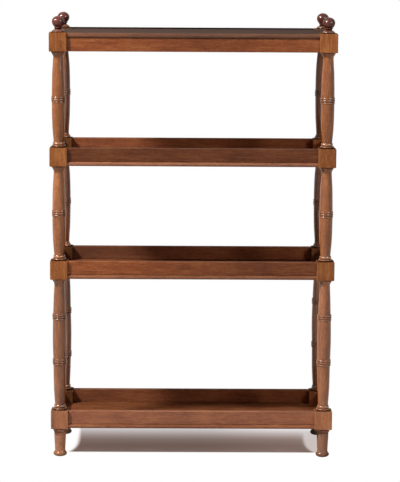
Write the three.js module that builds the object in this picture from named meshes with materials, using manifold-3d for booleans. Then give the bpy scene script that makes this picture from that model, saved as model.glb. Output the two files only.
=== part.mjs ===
// A four-tier etagere in polished mahogany: a moulded top over three shallow trays, joined at the
// corners by square blocks, turned spindles, turned feet and ball finials.
// Millimetres, +Z up. X runs along the width, Y from front to back, and the origin is on the floor
// under the middle of the piece.

import * as THREE from 'three';
import { mergeVertices } from 'three/addons/utils/BufferGeometryUtils.js';
import Module from 'manifold-3d';

const wasm = await Module();
wasm.setup();

// Driving dimensions: the whole piece
const overallWidth = 900;
const overallDepth = 340;
const blockSide = 56;
const blockHeight = 60;
const footHeight = 92;
const longSpindleLength = 425;
const shortSpindleLength = 300;

// Driving dimensions: boards, walls and aprons
const trayBoardThickness = 13.5;
const trayBoardLift = 2;
const topBoardThickness = 16;
const nosingSetback = 4;
const nosingProjection = 5.5;
const nosingFlat = 2;
const wallThickness = 16;
const wallTopDrop = 1;
const apronLift = 1;
const wallArris = 2;
const blockArris = 2;
const lipWidth = 14;
const recessDepth = 4;

// Driving dimensions: joinery
const tenonThickness = 8;
const tenonHeight = 28;
const tenonLength = 16;
const pinRadius = 9;
const pinLength = 18;
const finialPinRadius = 6;
const finialPinLength = 15;
const jointGap = 0.25;
const cutterOverrun = 5;

// Driving dimensions: the turned work
const discRadius = 22;
const discHeight = 3.5;
const baseBeadRadius = 18.5;
const baseBeadHeight = 12;
const neckRadius = 16.3;
const shortBellyRadius = 21;
const longBellyRadius = 20;
const longSwellRadius = 21.5;
const ringRadius = 22.5;
const ringHeight = 18;
const ringGroove = 1;
const flareRadius = 22;
const flareHeight = 14;
const flareRim = 3;

const footCollarRadius = 22;
const footCollarHeight = 16;
const footShaftTopRadius = 19;
const footAnkleRadius = 16.5;
const footToeRadius = 21.5;
const footToeHeight = 16;
const footSoleRadius = 16;

const finialHeight = 50;
const finialBallRadius = 19.5;
const finialCrownHeight = 17;
const finialBellyHeight = 20;
const finialBaseRadius = 20;
const finialBaseRim = 3;
const finialBaseHeight = 9;
const finialNeckRadius = 11;
const finialNeckTop = 11.5;
const finialFilletRadius = 15;
const finialFilletFoot = 14;

// Where the turned forms change, as shares of the sizes above
const shortRingShares = [0.5];
const longRingShares = [0.368, 0.712];
const swellHeightShare = 0.45;
const swellRadiusShare = 0.78;
const toeLowShare = 0.25;
const toeHighShare = 0.5;
const collarEaseShare = 0.33;

// Counts
const turnedSides = 12;
const shaftSteps = 4;
const boreSides = 12;
const nosingSteps = 3;
const ballSteps = 7;

// Places that follow from the sizes above
const postX = (overallWidth - blockSide) / 2;
const postY = (overallDepth - blockSide) / 2;
const wallSetback = nosingSetback + nosingProjection;
const trayFloor = trayBoardLift + trayBoardThickness;
const lowerTier = footHeight;
const middleTier = lowerTier + blockHeight + longSpindleLength;
const upperTier = middleTier + blockHeight + shortSpindleLength;
const topTier = upperTier + blockHeight + shortSpindleLength;
const finialFoot = topTier + blockHeight;

const corners = [
  { name: 'front_left', sideX: -1, sideY: -1 },
  { name: 'front_right', sideX: 1, sideY: -1 },
  { name: 'back_left', sideX: -1, sideY: 1 },
  { name: 'back_right', sideX: 1, sideY: 1 },
];

// Each wood of the piece: the straight-grained posts, the figured walls and the dark polished boards
function wood(color, roughness) {
  return new THREE.MeshStandardMaterial({ color, roughness, metalness: 0 });
}
const postWood = () => wood(0x96603c, 0.35);
const wallWood = () => wood(0x8a5033, 0.32);
const boardWood = () => wood(0x6e4231, 0.3);

// Solids for cutting and joining
function toSolid(geometry) {
  const bare = geometry.clone();
  bare.deleteAttribute('normal');
  bare.deleteAttribute('uv');
  const merged = mergeVertices(bare);
  return new wasm.Manifold(new wasm.Mesh({
    numProp: 3,
    vertProperties: new Float32Array(merged.attributes.position.array),
    triVerts: new Uint32Array(merged.index.array),
  }));
}

function toGeometry(solid) {
  const mesh = solid.getMesh();
  const geometry = new THREE.BufferGeometry();
  geometry.setAttribute('position', new THREE.BufferAttribute(mesh.vertProperties, mesh.numProp));
  geometry.setIndex(new THREE.BufferAttribute(mesh.triVerts, 1));
  geometry.computeVertexNormals();
  return geometry;
}

// Two values, the lower one first
function ordered(first, second) {
  return [Math.min(first, second), Math.max(first, second)];
}

// A box from its lowest and highest corners
function boxBetween(low, high) {
  const [width, depth, height] = high.map((value, axis) => value - low[axis]);
  const [x, y, z] = high.map((value, axis) => (value + low[axis]) / 2);
  return new THREE.BoxGeometry(width, depth, height).translate(x, y, z);
}

// An upright bore from its foot to its top, at a place in plan; its flat sides clear the given radius
function uprightBore(x, y, radius, bottom, top) {
  const cornerRadius = radius / Math.cos(Math.PI / boreSides);
  const bore = new THREE.CylinderGeometry(cornerRadius, cornerRadius, top - bottom, boreSides);
  return bore.rotateX(Math.PI / 2).translate(x, y, (top + bottom) / 2);
}

// Turned work: a profile of [radius, height] points, spun about the upright axis
function turned(profile) {
  const points = profile.map(([radius, height]) => new THREE.Vector2(radius, height));
  return new THREE.LatheGeometry(points, turnedSides).rotateX(Math.PI / 2);
}

// Points on a smooth stretch of turning, its two ends left out
function smoothStretch(through) {
  const curve = new THREE.SplineCurve(through.map(([radius, height]) => new THREE.Vector2(radius, height)));
  return curve.getPoints(shaftSteps).slice(1, -1).map((point) => [point.x, point.y]);
}

// The base of a spindle, from its seat up to the neck: a thin disc, then a rounded bead
function spindleBase() {
  const beadFoot = discHeight;
  const beadTop = beadFoot + baseBeadHeight;
  return [
    [discRadius, jointGap],
    [discRadius, discHeight],
    [baseBeadRadius, (beadFoot + (beadFoot + beadTop) / 2) / 2],
    [baseBeadRadius, (beadFoot + beadTop) / 2],
    [neckRadius, beadTop],
  ];
}

// A raised ring round the shaft, parted into beads by two fine grooves
function spindleRing(middle, bellyRadius) {
  const bottom = middle - ringHeight / 2;
  const groove = ringHeight / 3;
  return [
    [bellyRadius, bottom],
    [ringRadius, bottom + ringGroove],
    [ringRadius - ringGroove, bottom + groove],
    [ringRadius, middle],
    [ringRadius - ringGroove, bottom + 2 * groove],
    [ringRadius, bottom + ringHeight - ringGroove],
    [bellyRadius, bottom + ringHeight],
  ];
}

// A spindle stands on one block and carries the next. Its shaft swells from the neck to the ring and
// shrinks again to the flare, a long one swells between its two rings too, and a pin at each end sits
// in the block's bore.
function spindle(length, ringShares, bellyRadius) {
  const rings = ringShares.map((share) => share * length);
  const neckFoot = discHeight + baseBeadHeight;
  const neckTop = length - flareHeight;
  const firstRing = rings[0] - ringHeight / 2;
  const lastRing = rings[rings.length - 1] + ringHeight / 2;
  const swellRadius = neckRadius + (bellyRadius - neckRadius) * swellRadiusShare;
  const profile = [[0, -pinLength], [pinRadius, -pinLength], [pinRadius, jointGap], ...spindleBase()];
  profile.push(...smoothStretch([
    [neckRadius, neckFoot],
    [swellRadius, neckFoot + (firstRing - neckFoot) * swellHeightShare],
    [bellyRadius, firstRing],
  ]));
  rings.forEach((middle, index) => {
    profile.push(...spindleRing(middle, bellyRadius));
    if (index + 1 < rings.length) {
      profile.push(...smoothStretch([
        [bellyRadius, middle + ringHeight / 2],
        [longSwellRadius, (middle + rings[index + 1]) / 2],
        [bellyRadius, rings[index + 1] - ringHeight / 2],
      ]));
    }
  });
  profile.push(...smoothStretch([
    [bellyRadius, lastRing],
    [swellRadius, neckTop - (neckTop - lastRing) * swellHeightShare],
    [neckRadius, neckTop],
  ]));
  profile.push(
    [neckRadius, neckTop],
    [flareRadius, length - flareRim],
    [flareRadius, length - jointGap],
    [pinRadius, length - jointGap],
    [pinRadius, length + pinLength],
    [0, length + pinLength],
  );
  return turned(profile);
}

// A foot: a collar under the block, a tapering shaft and a rounded toe with a flat sole
function foot() {
  const collarFoot = footHeight - footCollarHeight;
  return turned([
    [0, 0],
    [footSoleRadius, 0],
    [footToeRadius, footToeHeight * toeLowShare],
    [footToeRadius, footToeHeight * toeHighShare],
    [footAnkleRadius, footToeHeight],
    [footShaftTopRadius, collarFoot],
    [footCollarRadius, collarFoot + footCollarHeight * collarEaseShare],
    [footCollarRadius, footHeight - jointGap],
    [pinRadius, footHeight - jointGap],
    [pinRadius, footHeight + pinLength],
    [0, footHeight + pinLength],
  ]);
}

// A ball finial: a spreading base, a narrow neck, a fillet, and a ball that is fuller below its middle
function finial() {
  const ballMiddle = finialHeight - finialCrownHeight;
  const profile = [
    [0, -finialPinLength],
    [finialPinRadius, -finialPinLength],
    [finialPinRadius, jointGap],
    [finialBaseRadius, jointGap],
    [finialBaseRadius, finialBaseRim],
    [finialNeckRadius, finialBaseHeight],
    [finialNeckRadius, finialNeckTop],
    [finialFilletRadius, finialFilletFoot],
  ];
  const startAngle = -Math.acos(finialFilletRadius / finialBallRadius);
  for (let step = 0; step < ballSteps; step += 1) {
    const angle = startAngle + (Math.PI / 2 - startAngle) * step / ballSteps;
    const reach = angle < 0 ? finialBellyHeight : finialCrownHeight;
    profile.push([finialBallRadius * Math.cos(angle), ballMiddle + reach * Math.sin(angle)]);
  }
  profile.push([0, finialHeight]);
  return turned(profile);
}

// The plain square block, its edges eased, standing on z = 0 at a corner of the plan
function easedBlock(x, y) {
  const half = blockSide / 2 - blockArris;
  const cut = half - blockArris;
  const outline = new THREE.Shape([
    [-cut, -half], [cut, -half], [half, -cut], [half, cut],
    [cut, half], [-cut, half], [-half, cut], [-half, -cut],
  ].map(([u, v]) => new THREE.Vector2(u, v)));
  const block = new THREE.ExtrudeGeometry(outline, {
    depth: blockHeight - 2 * blockArris,
    bevelThickness: blockArris,
    bevelSize: blockArris,
    bevelSegments: 1,
  });
  return block.translate(x, y, blockArris);
}

// Height of the tenons' middle above a tier's foot
function tenonMiddle(isTop) {
  const wallFoot = isTop ? apronLift : trayFloor;
  const wallTop = isTop ? blockHeight - topBoardThickness : blockHeight - wallTopDrop;
  return (wallFoot + wallTop) / 2;
}

// A corner block of one tier, bored above and below for the pins and mortised for two tenons
function cornerBlock(corner, isTop) {
  const x = corner.sideX * postX;
  const y = corner.sideY * postY;
  let block = toSolid(easedBlock(x, y));

  const upperRadius = (isTop ? finialPinRadius : pinRadius) + jointGap;
  const upperDepth = (isTop ? finialPinLength : pinLength) + jointGap;
  const lowerDepth = pinLength + jointGap;
  block = block.subtract(toSolid(
    uprightBore(x, y, upperRadius, blockHeight - upperDepth, blockHeight + cutterOverrun)));
  block = block.subtract(toSolid(uprightBore(x, y, pinRadius + jointGap, -cutterOverrun, lowerDepth)));

  const middle = tenonMiddle(isTop);
  const reach = tenonLength + jointGap;
  const halfThickness = tenonThickness / 2 + jointGap;
  const halfHeight = tenonHeight / 2 + jointGap;
  const lineX = corner.sideX * (overallWidth / 2 - wallSetback - wallThickness / 2);
  const lineY = corner.sideY * (overallDepth / 2 - wallSetback - wallThickness / 2);
  const faceX = corner.sideX * (overallWidth / 2 - blockSide);
  const faceY = corner.sideY * (overallDepth / 2 - blockSide);
  const mortiseX = ordered(faceX - corner.sideX * cutterOverrun, faceX + corner.sideX * reach);
  const mortiseY = ordered(faceY - corner.sideY * cutterOverrun, faceY + corner.sideY * reach);
  block = block.subtract(toSolid(boxBetween(
    [mortiseX[0], lineY - halfThickness, middle - halfHeight],
    [mortiseX[1], lineY + halfThickness, middle + halfHeight])));
  block = block.subtract(toSolid(boxBetween(
    [lineX - halfThickness, mortiseY[0], middle - halfHeight],
    [lineX + halfThickness, mortiseY[1], middle + halfHeight])));
  return toGeometry(block);
}

// A wall or apron lies along X, centred, with a tenon at each end and its two upper edges eased
function wall(span, bottom, top, isTop) {
  const half = wallThickness / 2;
  const section = new THREE.Shape([
    [-half, bottom], [half, bottom], [half, top - wallArris],
    [half - wallArris, top], [wallArris - half, top], [-half, top - wallArris],
  ].map(([u, v]) => new THREE.Vector2(u, v)));
  const shoulders = span - 2 * jointGap;
  const rail = new THREE.ExtrudeGeometry(section, { depth: shoulders, bevelEnabled: false });
  rail.rotateX(Math.PI / 2).rotateZ(Math.PI / 2).translate(-shoulders / 2, 0, 0);

  const middle = tenonMiddle(isTop);
  const tenonEnd = span / 2 + tenonLength;
  const tongue = boxBetween(
    [-tenonEnd, -tenonThickness / 2, middle - tenonHeight / 2],
    [tenonEnd, tenonThickness / 2, middle + tenonHeight / 2]);
  return toGeometry(toSolid(rail).add(toSolid(tongue)));
}

// A board with a rounded nosing all round, notched at its corners to clear the blocks
function board(bottom, thickness, isTop) {
  const round = (thickness - nosingFlat) / 2;
  const halfX = overallWidth / 2 - nosingSetback - nosingProjection;
  const halfY = overallDepth / 2 - nosingSetback - nosingProjection;
  const outline = new THREE.Shape([
    [-halfX, -halfY], [halfX, -halfY], [halfX, halfY], [-halfX, halfY],
  ].map(([u, v]) => new THREE.Vector2(u, v)));
  const plank = new THREE.ExtrudeGeometry(outline, {
    depth: nosingFlat,
    bevelThickness: round,
    bevelSize: nosingProjection,
    bevelSegments: nosingSteps,
  });
  let solid = toSolid(plank.translate(0, 0, bottom + round));

  const notchX = overallWidth / 2 - blockSide - jointGap;
  const notchY = overallDepth / 2 - blockSide - jointGap;
  const beyondX = overallWidth / 2 + cutterOverrun;
  const beyondY = overallDepth / 2 + cutterOverrun;
  corners.forEach(({ sideX, sideY }) => {
    const [lowX, highX] = ordered(sideX * notchX, sideX * beyondX);
    const [lowY, highY] = ordered(sideY * notchY, sideY * beyondY);
    solid = solid.subtract(toSolid(boxBetween(
      [lowX, lowY, bottom - cutterOverrun],
      [highX, highY, bottom + thickness + cutterOverrun])));
  });

  if (isTop) {
    const recessX = overallWidth / 2 - nosingSetback - lipWidth;
    const recessY = overallDepth / 2 - nosingSetback - lipWidth;
    solid = solid.subtract(toSolid(boxBetween(
      [-recessX, -recessY, bottom + thickness - recessDepth],
      [recessX, recessY, bottom + thickness + cutterOverrun])));
  }
  return toGeometry(solid);
}

// Assembly
const etagere = new THREE.Group();

function place(name, geometry, material, x = 0, y = 0, z = 0) {
  const mesh = new THREE.Mesh(geometry, material);
  mesh.name = name;
  mesh.position.set(x, y, z);
  etagere.add(mesh);
  return mesh;
}

// The four frames that stand on the sides of a board: front and back along X, left and right along Y
function placeWalls(prefix, suffix, tier, bottom, top, isTop) {
  const longSpan = overallWidth - 2 * blockSide;
  const shortSpan = overallDepth - 2 * blockSide;
  const lineX = overallWidth / 2 - wallSetback - wallThickness / 2;
  const lineY = overallDepth / 2 - wallSetback - wallThickness / 2;
  place(`${prefix}_front_${suffix}`, wall(longSpan, bottom, top, isTop), wallWood(), 0, -lineY, tier);
  place(`${prefix}_back_${suffix}`, wall(longSpan, bottom, top, isTop), wallWood(), 0, lineY, tier);
  const left = wall(shortSpan, bottom, top, isTop).rotateZ(Math.PI / 2);
  const right = wall(shortSpan, bottom, top, isTop).rotateZ(Math.PI / 2);
  place(`${prefix}_left_${suffix}`, left, wallWood(), -lineX, 0, tier);
  place(`${prefix}_right_${suffix}`, right, wallWood(), lineX, 0, tier);
}

// The top: four blocks, four aprons, and the board on them with its raised lip
const topBoardFoot = blockHeight - topBoardThickness;
corners.forEach((corner) => place(
  `top_${corner.name}_block`, cornerBlock(corner, true), postWood(), 0, 0, topTier));
placeWalls('top', 'apron', topTier, apronLift, topBoardFoot - jointGap, true);
place('top_board', board(topBoardFoot, topBoardThickness, true), boardWood(), 0, 0, topTier);

// The three trays: four blocks, a board between them, and four walls standing on the board
const trays = [
  { name: 'upper_tray', tier: upperTier },
  { name: 'middle_tray', tier: middleTier },
  { name: 'lower_tray', tier: lowerTier },
];
trays.forEach(({ name, tier }) => {
  corners.forEach((corner) => place(
    `${name}_${corner.name}_block`, cornerBlock(corner, false), postWood(), 0, 0, tier));
  place(`${name}_board`, board(trayBoardLift, trayBoardThickness, false), boardWood(), 0, 0, tier);
  placeWalls(name, 'wall', tier, trayFloor + jointGap, blockHeight - wallTopDrop, false);
});

// The turned work at each corner, from the foot up to the finial
corners.forEach(({ name, sideX, sideY }) => {
  const x = sideX * postX;
  const y = sideY * postY;
  place(`${name}_foot`, foot(), postWood(), x, y, 0);
  place(`lower_${name}_spindle`, spindle(longSpindleLength, longRingShares, longBellyRadius),
    postWood(), x, y, lowerTier + blockHeight);
  place(`middle_${name}_spindle`, spindle(shortSpindleLength, shortRingShares, shortBellyRadius),
    postWood(), x, y, middleTier + blockHeight);
  place(`upper_${name}_spindle`, spindle(shortSpindleLength, shortRingShares, shortBellyRadius),
    postWood(), x, y, upperTier + blockHeight);
  place(`${name}_finial`, finial(), postWood(), x, y, finialFoot);
});

export default etagere;
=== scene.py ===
# A four-tier etagere in polished mahogany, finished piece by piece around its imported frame.
# Metres, +Z up: X runs along the width, Y from the front to the back, and the floor is at Z = 0.

import math

import bmesh
import bpy
from mathutils import Color, Matrix, Vector


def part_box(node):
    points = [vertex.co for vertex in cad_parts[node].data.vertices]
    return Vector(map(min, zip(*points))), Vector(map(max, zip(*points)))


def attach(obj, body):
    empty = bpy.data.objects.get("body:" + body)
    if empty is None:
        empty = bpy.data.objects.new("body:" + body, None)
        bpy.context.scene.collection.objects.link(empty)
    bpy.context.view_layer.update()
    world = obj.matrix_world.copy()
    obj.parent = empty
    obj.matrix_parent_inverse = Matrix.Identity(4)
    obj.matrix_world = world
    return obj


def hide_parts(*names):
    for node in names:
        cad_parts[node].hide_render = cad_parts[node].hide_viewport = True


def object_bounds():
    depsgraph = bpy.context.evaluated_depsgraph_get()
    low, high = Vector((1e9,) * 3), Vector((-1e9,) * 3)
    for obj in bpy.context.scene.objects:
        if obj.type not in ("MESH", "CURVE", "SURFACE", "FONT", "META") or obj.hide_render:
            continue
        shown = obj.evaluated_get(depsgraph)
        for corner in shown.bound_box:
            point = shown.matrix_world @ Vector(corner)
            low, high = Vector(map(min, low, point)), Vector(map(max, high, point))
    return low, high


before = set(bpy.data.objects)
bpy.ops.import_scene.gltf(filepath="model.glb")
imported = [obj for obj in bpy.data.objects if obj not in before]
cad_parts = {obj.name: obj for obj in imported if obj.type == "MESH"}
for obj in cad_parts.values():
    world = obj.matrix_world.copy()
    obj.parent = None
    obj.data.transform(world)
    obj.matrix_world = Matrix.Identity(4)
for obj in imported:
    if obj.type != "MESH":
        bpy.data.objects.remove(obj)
cad_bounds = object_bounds()

# The camera stands six and a half metres in front of the piece's middle, thirty centimetres above its
# top and three centimetres to the left, and looks slightly down. The picture is 400 pixels wide.
PICTURE_WIDTH = 400
SENSOR_WIDTH = 36.0
FOCAL_LENGTH_IN_PIXELS = 2032.8
CAMERA_PLACE = Vector((-0.031, -6.502, 1.7085))
CAMERA_YAW = 0.00864
CAMERA_PITCH = 0.1573
CAMERA_ROLL = 0.006
QUARTER_TURN = math.pi / 2

lens = bpy.data.cameras.new("camera")
lens.sensor_fit = "HORIZONTAL"
lens.sensor_width = SENSOR_WIDTH
lens.lens = FOCAL_LENGTH_IN_PIXELS * SENSOR_WIDTH / PICTURE_WIDTH
camera = bpy.data.objects.new("camera", lens)
turned_right = Matrix.Rotation(-CAMERA_YAW, 4, "Z")
tipped_down = Matrix.Rotation(QUARTER_TURN - CAMERA_PITCH, 4, "X")
rolled = Matrix.Rotation(CAMERA_ROLL, 4, "Z")
camera.matrix_world = Matrix.Translation(CAMERA_PLACE) @ turned_right @ tipped_down @ rolled
bpy.context.scene.collection.objects.link(camera)
bpy.context.scene.camera = camera
bpy.context.scene.view_settings.view_transform = "Standard"

# The studio: a white surround with a strong softbox high on the left, a weaker one on the right and one
# behind for matt surfaces. Two larger lamps show only in the polish. Between the feet the floor shows a
# painted shadow over its real one, and elsewhere it fades into the white.
SURROUND_LEVEL = 0.11
FLOOR_HALF = 8.0
FLOOR_DROP = 0.0002
SQUARE = ((-1, -1), (1, -1), (1, 1), (-1, 1))
SEEN_PAINT = (0.30, 0.28, 0.27, 1.0)
BOUNCED_PAINT = (0.55, 0.53, 0.51, 1.0)
SHADOW_HALF_WIDTH = 0.358
SHADOW_FRONT = -0.105
SHADOW_BACK = 0.21
SHADOW_FLARE_PLACE = 0.06
SHADOW_FLARE_POWER = 3.0
SHADOW_FLARE = 6.0
SHADOW_EDGE = 0.012
SHADOW_SIDE_FADE = 0.024
SHADOW_BACK_FADE = 0.06
SHADOW_RIGHT_END = 0.415
SHADOW_RIGHT_LIGHT = 0.58
# The painted shadow under the piece: darkest and warmest near the front, paler towards the back and the
# right.
SHADOW_CORE = 0.05
SHADOW_DEPTH = 0.15
SHADOW_RISE = 1.35
SHADOW_LIGHTEST = 0.56
SHADOW_DARKEST = 0.143
SHADOW_RIGHT_GAIN = 1.35
PAINTED_SHADOW_WARM = (1.0, 0.70, 0.60, 1.0)
PAINTED_SHADOW_PALE = (1.0, 0.96, 0.97, 1.0)
WHITE = (1.0, 1.0, 1.0, 1.0)
KEY_PLACE = (-2.8, -1.75, 3.8)
FILL_PLACE = (2.5, -2.6, 2.4)
BACK_PLACE = (1.4, 4.2, 2.8)
LAMPS = {
    "key_softbox": {"place": KEY_PLACE, "side": 0.62, "watts": 292, "lights": True, "shows": True},
    "back_softbox": {"place": BACK_PLACE, "side": 0.9, "watts": 80, "lights": True, "shows": False},
    "fill_softbox": {"place": FILL_PLACE, "side": 0.7, "watts": 34, "lights": True, "shows": True},
    "key_catchlight": {"place": KEY_PLACE, "side": 1.7, "watts": 620, "lights": False, "shows": True},
    "fill_catchlight": {"place": FILL_PLACE, "side": 1.7, "watts": 95, "lights": False, "shows": True},
}
LAMP_TARGET = Vector((0.0, 0.0, 0.75))


def feed(tree, socket, value):
    """Sets a node's input, or links it where the value is another node's socket."""
    if isinstance(value, bpy.types.NodeSocket):
        tree.links.new(value, socket)
    else:
        socket.default_value = value


def add_node(tree, kind, inputs=None, **settings):
    """A new node of a tree with its settings made and its inputs fed."""
    made = tree.nodes.new(kind)
    for key, value in settings.items():
        setattr(made, key, value)
    for key, value in (inputs or {}).items():
        feed(tree, made.inputs[key], value)
    return made


def reckon(tree, operation, *values):
    """The result of a Math node."""
    return add_node(tree, "ShaderNodeMath", dict(enumerate(values)), operation=operation).outputs[0]


def reckon_vector(tree, operation, first, second):
    """The result of a Vector Math node. For a SCALE the second value is a plain number."""
    second_socket = "Scale" if operation == "SCALE" else 1
    inputs = {0: first, second_socket: second}
    return add_node(tree, "ShaderNodeVectorMath", inputs, operation=operation).outputs[0]


def seen_directly(tree):
    """1 for rays from the camera, a mirror or glass, and 0 for the rays that light the piece."""
    path = add_node(tree, "ShaderNodeLightPath").outputs
    mirrored = reckon(tree, "ADD", path["Is Glossy Ray"], path["Is Transmission Ray"])
    return reckon(tree, "MINIMUM", reckon(tree, "ADD", path["Is Camera Ray"], mirrored), 1.0)


def mixed(tree, share, first, second):
    """A colour mixed from two others."""
    mix = add_node(tree, "ShaderNodeMix", data_type="RGBA")
    sockets = {socket.identifier: socket for socket in mix.inputs}
    feed(tree, sockets["Factor_Float"], share)
    feed(tree, sockets["A_Color"], first)
    feed(tree, sockets["B_Color"], second)
    return next(socket for socket in mix.outputs if socket.identifier == "Result_Color")


def rising(tree, value, start, end, low=0.0, high=1.0, kind="SMOOTHSTEP"):
    """A value that goes from low to high while another one goes from start to end."""
    return add_node(tree, "ShaderNodeMapRange", {
        "Value": value, "From Min": start, "From Max": end, "To Min": low, "To Max": high},
        interpolation_type=kind).outputs[0]


surround = bpy.data.worlds.new("white_surround")
surround.use_nodes = True
tree = surround.node_tree
tree.nodes.clear()
soft_light = add_node(tree, "ShaderNodeBackground", {"Color": WHITE, "Strength": SURROUND_LEVEL})
white_paper = add_node(tree, "ShaderNodeBackground", {"Color": WHITE, "Strength": 1.0})
surround_mix = add_node(tree, "ShaderNodeMixShader", {
    0: seen_directly(tree), 1: soft_light.outputs[0], 2: white_paper.outputs[0]})
add_node(tree, "ShaderNodeOutputWorld", {"Surface": surround_mix.outputs[0]})
bpy.context.scene.world = surround

for lamp_name, lamp in LAMPS.items():
    light = bpy.data.lights.new(lamp_name, "AREA")
    light.shape = "SQUARE"
    light.size = lamp["side"]
    light.energy = lamp["watts"]
    hung_lamp = bpy.data.objects.new(lamp_name, light)
    hung_lamp.location = lamp["place"]
    aim = LAMP_TARGET - hung_lamp.location
    hung_lamp.rotation_euler = aim.to_track_quat("-Z", "Y").to_euler()
    hung_lamp.visible_diffuse = lamp["lights"]
    hung_lamp.visible_glossy = lamp["shows"]
    bpy.context.scene.collection.objects.link(hung_lamp)

floor_mesh = bpy.data.meshes.new("studio_floor")
floor_points = [(x * FLOOR_HALF, y * FLOOR_HALF, -FLOOR_DROP) for x, y in SQUARE]
floor_mesh.from_pydata(floor_points, [], [(0, 1, 2, 3)])
studio_floor = bpy.data.objects.new("studio_floor", floor_mesh)
bpy.context.scene.collection.objects.link(studio_floor)

floor_paint = bpy.data.materials.new("pale_floor")
floor_paint.use_nodes = True
tree = floor_paint.node_tree
tree.nodes.clear()
seen = seen_directly(tree)
paint_colour = mixed(tree, seen, BOUNCED_PAINT, SEEN_PAINT)
paint = add_node(tree, "ShaderNodeBsdfDiffuse", {"Color": paint_colour})
floor_place = add_node(tree, "ShaderNodeTexCoord").outputs["Object"]
across = add_node(tree, "ShaderNodeSeparateXYZ", {0: floor_place}).outputs

near = reckon(tree, "MAXIMUM", reckon(tree, "SUBTRACT", SHADOW_FLARE_PLACE, across["Y"]), 0.0)
flare = reckon(tree, "MULTIPLY", reckon(tree, "POWER", near, SHADOW_FLARE_POWER), SHADOW_FLARE)
from_middle = reckon(tree, "SUBTRACT", reckon(tree, "ABSOLUTE", across["X"]), flare)
outside = rising(tree, from_middle, SHADOW_HALF_WIDTH, SHADOW_HALF_WIDTH + SHADOW_SIDE_FADE)
beside_light = rising(tree, across["X"], 0.0, SHADOW_HALF_WIDTH, 1.0, SHADOW_RIGHT_LIGHT)
beyond = rising(tree, across["X"], SHADOW_RIGHT_END, SHADOW_RIGHT_END + SHADOW_EDGE)
beside = reckon(tree, "MAXIMUM", reckon(tree, "MULTIPLY", beside_light, outside), beyond)
toward_camera = reckon(tree, "MULTIPLY", across["Y"], -1.0)
before = rising(tree, toward_camera, -SHADOW_FRONT - SHADOW_EDGE, -SHADOW_FRONT)
behind = rising(tree, across["Y"], SHADOW_BACK, SHADOW_BACK + SHADOW_BACK_FADE)
# Under the piece a painted shadow, an emission that lightens towards the back and the right, lies over the
# floor's real shadow.
deep = rising(tree, across["Y"], SHADOW_CORE, SHADOW_CORE + SHADOW_DEPTH, kind="LINEAR")
deepest = reckon(tree, "POWER", deep, SHADOW_RISE)
painted_shadow_level = reckon(tree, "MULTIPLY_ADD", deepest, SHADOW_LIGHTEST - SHADOW_DARKEST, SHADOW_DARKEST)
painted_shadow_right_gain = rising(tree, across["X"], 0.0, SHADOW_HALF_WIDTH, 1.0, SHADOW_RIGHT_GAIN)
painted_shadow_level = reckon(tree, "MULTIPLY", painted_shadow_level, painted_shadow_right_gain)
clear = reckon(tree, "MAXIMUM", behind, reckon(tree, "MAXIMUM", beside, before))
fade = reckon(tree, "MAXIMUM", painted_shadow_level, clear)
painted_shadow_colour = mixed(tree, deep, PAINTED_SHADOW_WARM, PAINTED_SHADOW_PALE)
paper_and_painted_shadow_colour = mixed(tree, clear, painted_shadow_colour, WHITE)
paper_and_painted_shadow = add_node(tree, "ShaderNodeEmission", {"Color": paper_and_painted_shadow_colour, "Strength": 1.0})
floor_mix = add_node(tree, "ShaderNodeMixShader", {
    0: reckon(tree, "MULTIPLY", fade, seen), 1: paint.outputs[0], 2: paper_and_painted_shadow.outputs[0]})
add_node(tree, "ShaderNodeOutputMaterial", {"Surface": floor_mix.outputs[0]})
floor_mesh.materials.append(floor_paint)

# The sixteen corner blocks: square lengths of straight-grained mahogany with rounded, rubbed edges.
# Each is bored above and below for the pins of the turned work and mortised on its two inner sides
# for the stub tenons of the walls, which are glued in.
MM = 0.001
CORNERS = {"front_left": (-1, -1), "front_right": (1, -1), "back_left": (-1, 1), "back_right": (1, 1)}
TIERS = ("top", "upper_tray", "middle_tray", "lower_tray")
BLOCK_EASE = 3.0 * MM
EASE_STEPS = 4
ROUND_PROFILE = 0.5
JOINT_GAP = 0.25 * MM
PIN_RADIUS = 9.0 * MM
PIN_LENGTH = 18.0 * MM
FINIAL_PIN_RADIUS = 6.0 * MM
FINIAL_PIN_LENGTH = 15.0 * MM
TENON_THICKNESS = 8.0 * MM
TENON_HEIGHT = 28.0 * MM
BORE_SIDES = 32
OVERRUN = 5.0 * MM
SHARP_EDGE = math.radians(32)
GOLDEN_SHARE = 0.618034
SCREEN_WHITE = 255.0


def polish(*levels):
    """A colour from its red, green and blue on a screen, in the linear values that a shader takes."""
    seen_colour = Color([level / SCREEN_WHITE for level in levels])
    return (*seen_colour.from_srgb_to_scene_linear(), 1.0)


# The pale colour of rubbed places, also used as a painted highlight on nosings and turned crests.
RUBBED_AND_HIGHLIGHT = polish(184, 132, 88)
# The dark of old polish, also used as painted shade in quirks, on upper faces and behind the top's lip.
OLD_POLISH_AND_SHADE = polish(34, 16, 10)
# A pale veil over the wood, partly a hazy polish and partly a painted reflection of the white surroundings
# and of light bounced from the floor.
BLOOM_AND_REFLECTION = polish(158, 134, 122)
LOG_STEP = (2.3, 3.1, 1.7)
SWAY_SCALE = 9.0
GRAIN_SWAY = 0.012
GRAIN = {
    "bands": {"across": 80, "along": 5, "detail": 3.0, "distortion": 0.6},
    "streaks": {"across": 420, "along": 16, "detail": 2.0},
    "wisps": {"across": 190, "along": 62, "detail": 2.0, "distortion": 1.4},
    "mottle": {"across": 18, "along": 10, "detail": 2.0, "distortion": 0.5},
    "pores": {"across": 2300, "along": 85, "detail": 1.0},
    "rubbing": {"across": 60, "along": 22, "detail": 2.0},
}
GRAIN_WEIGHTS = {"bands": 0.5, "streaks": 0.6, "wisps": 0.55, "mottle": 0.5}
GRAIN_STOPS = (0.15, 0.5, 0.85)
PORE_LIMITS = (0.6, 0.7)
PORE_DARKNESS = 0.4
RUB_LIMITS = (0.35, 0.62)
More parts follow.
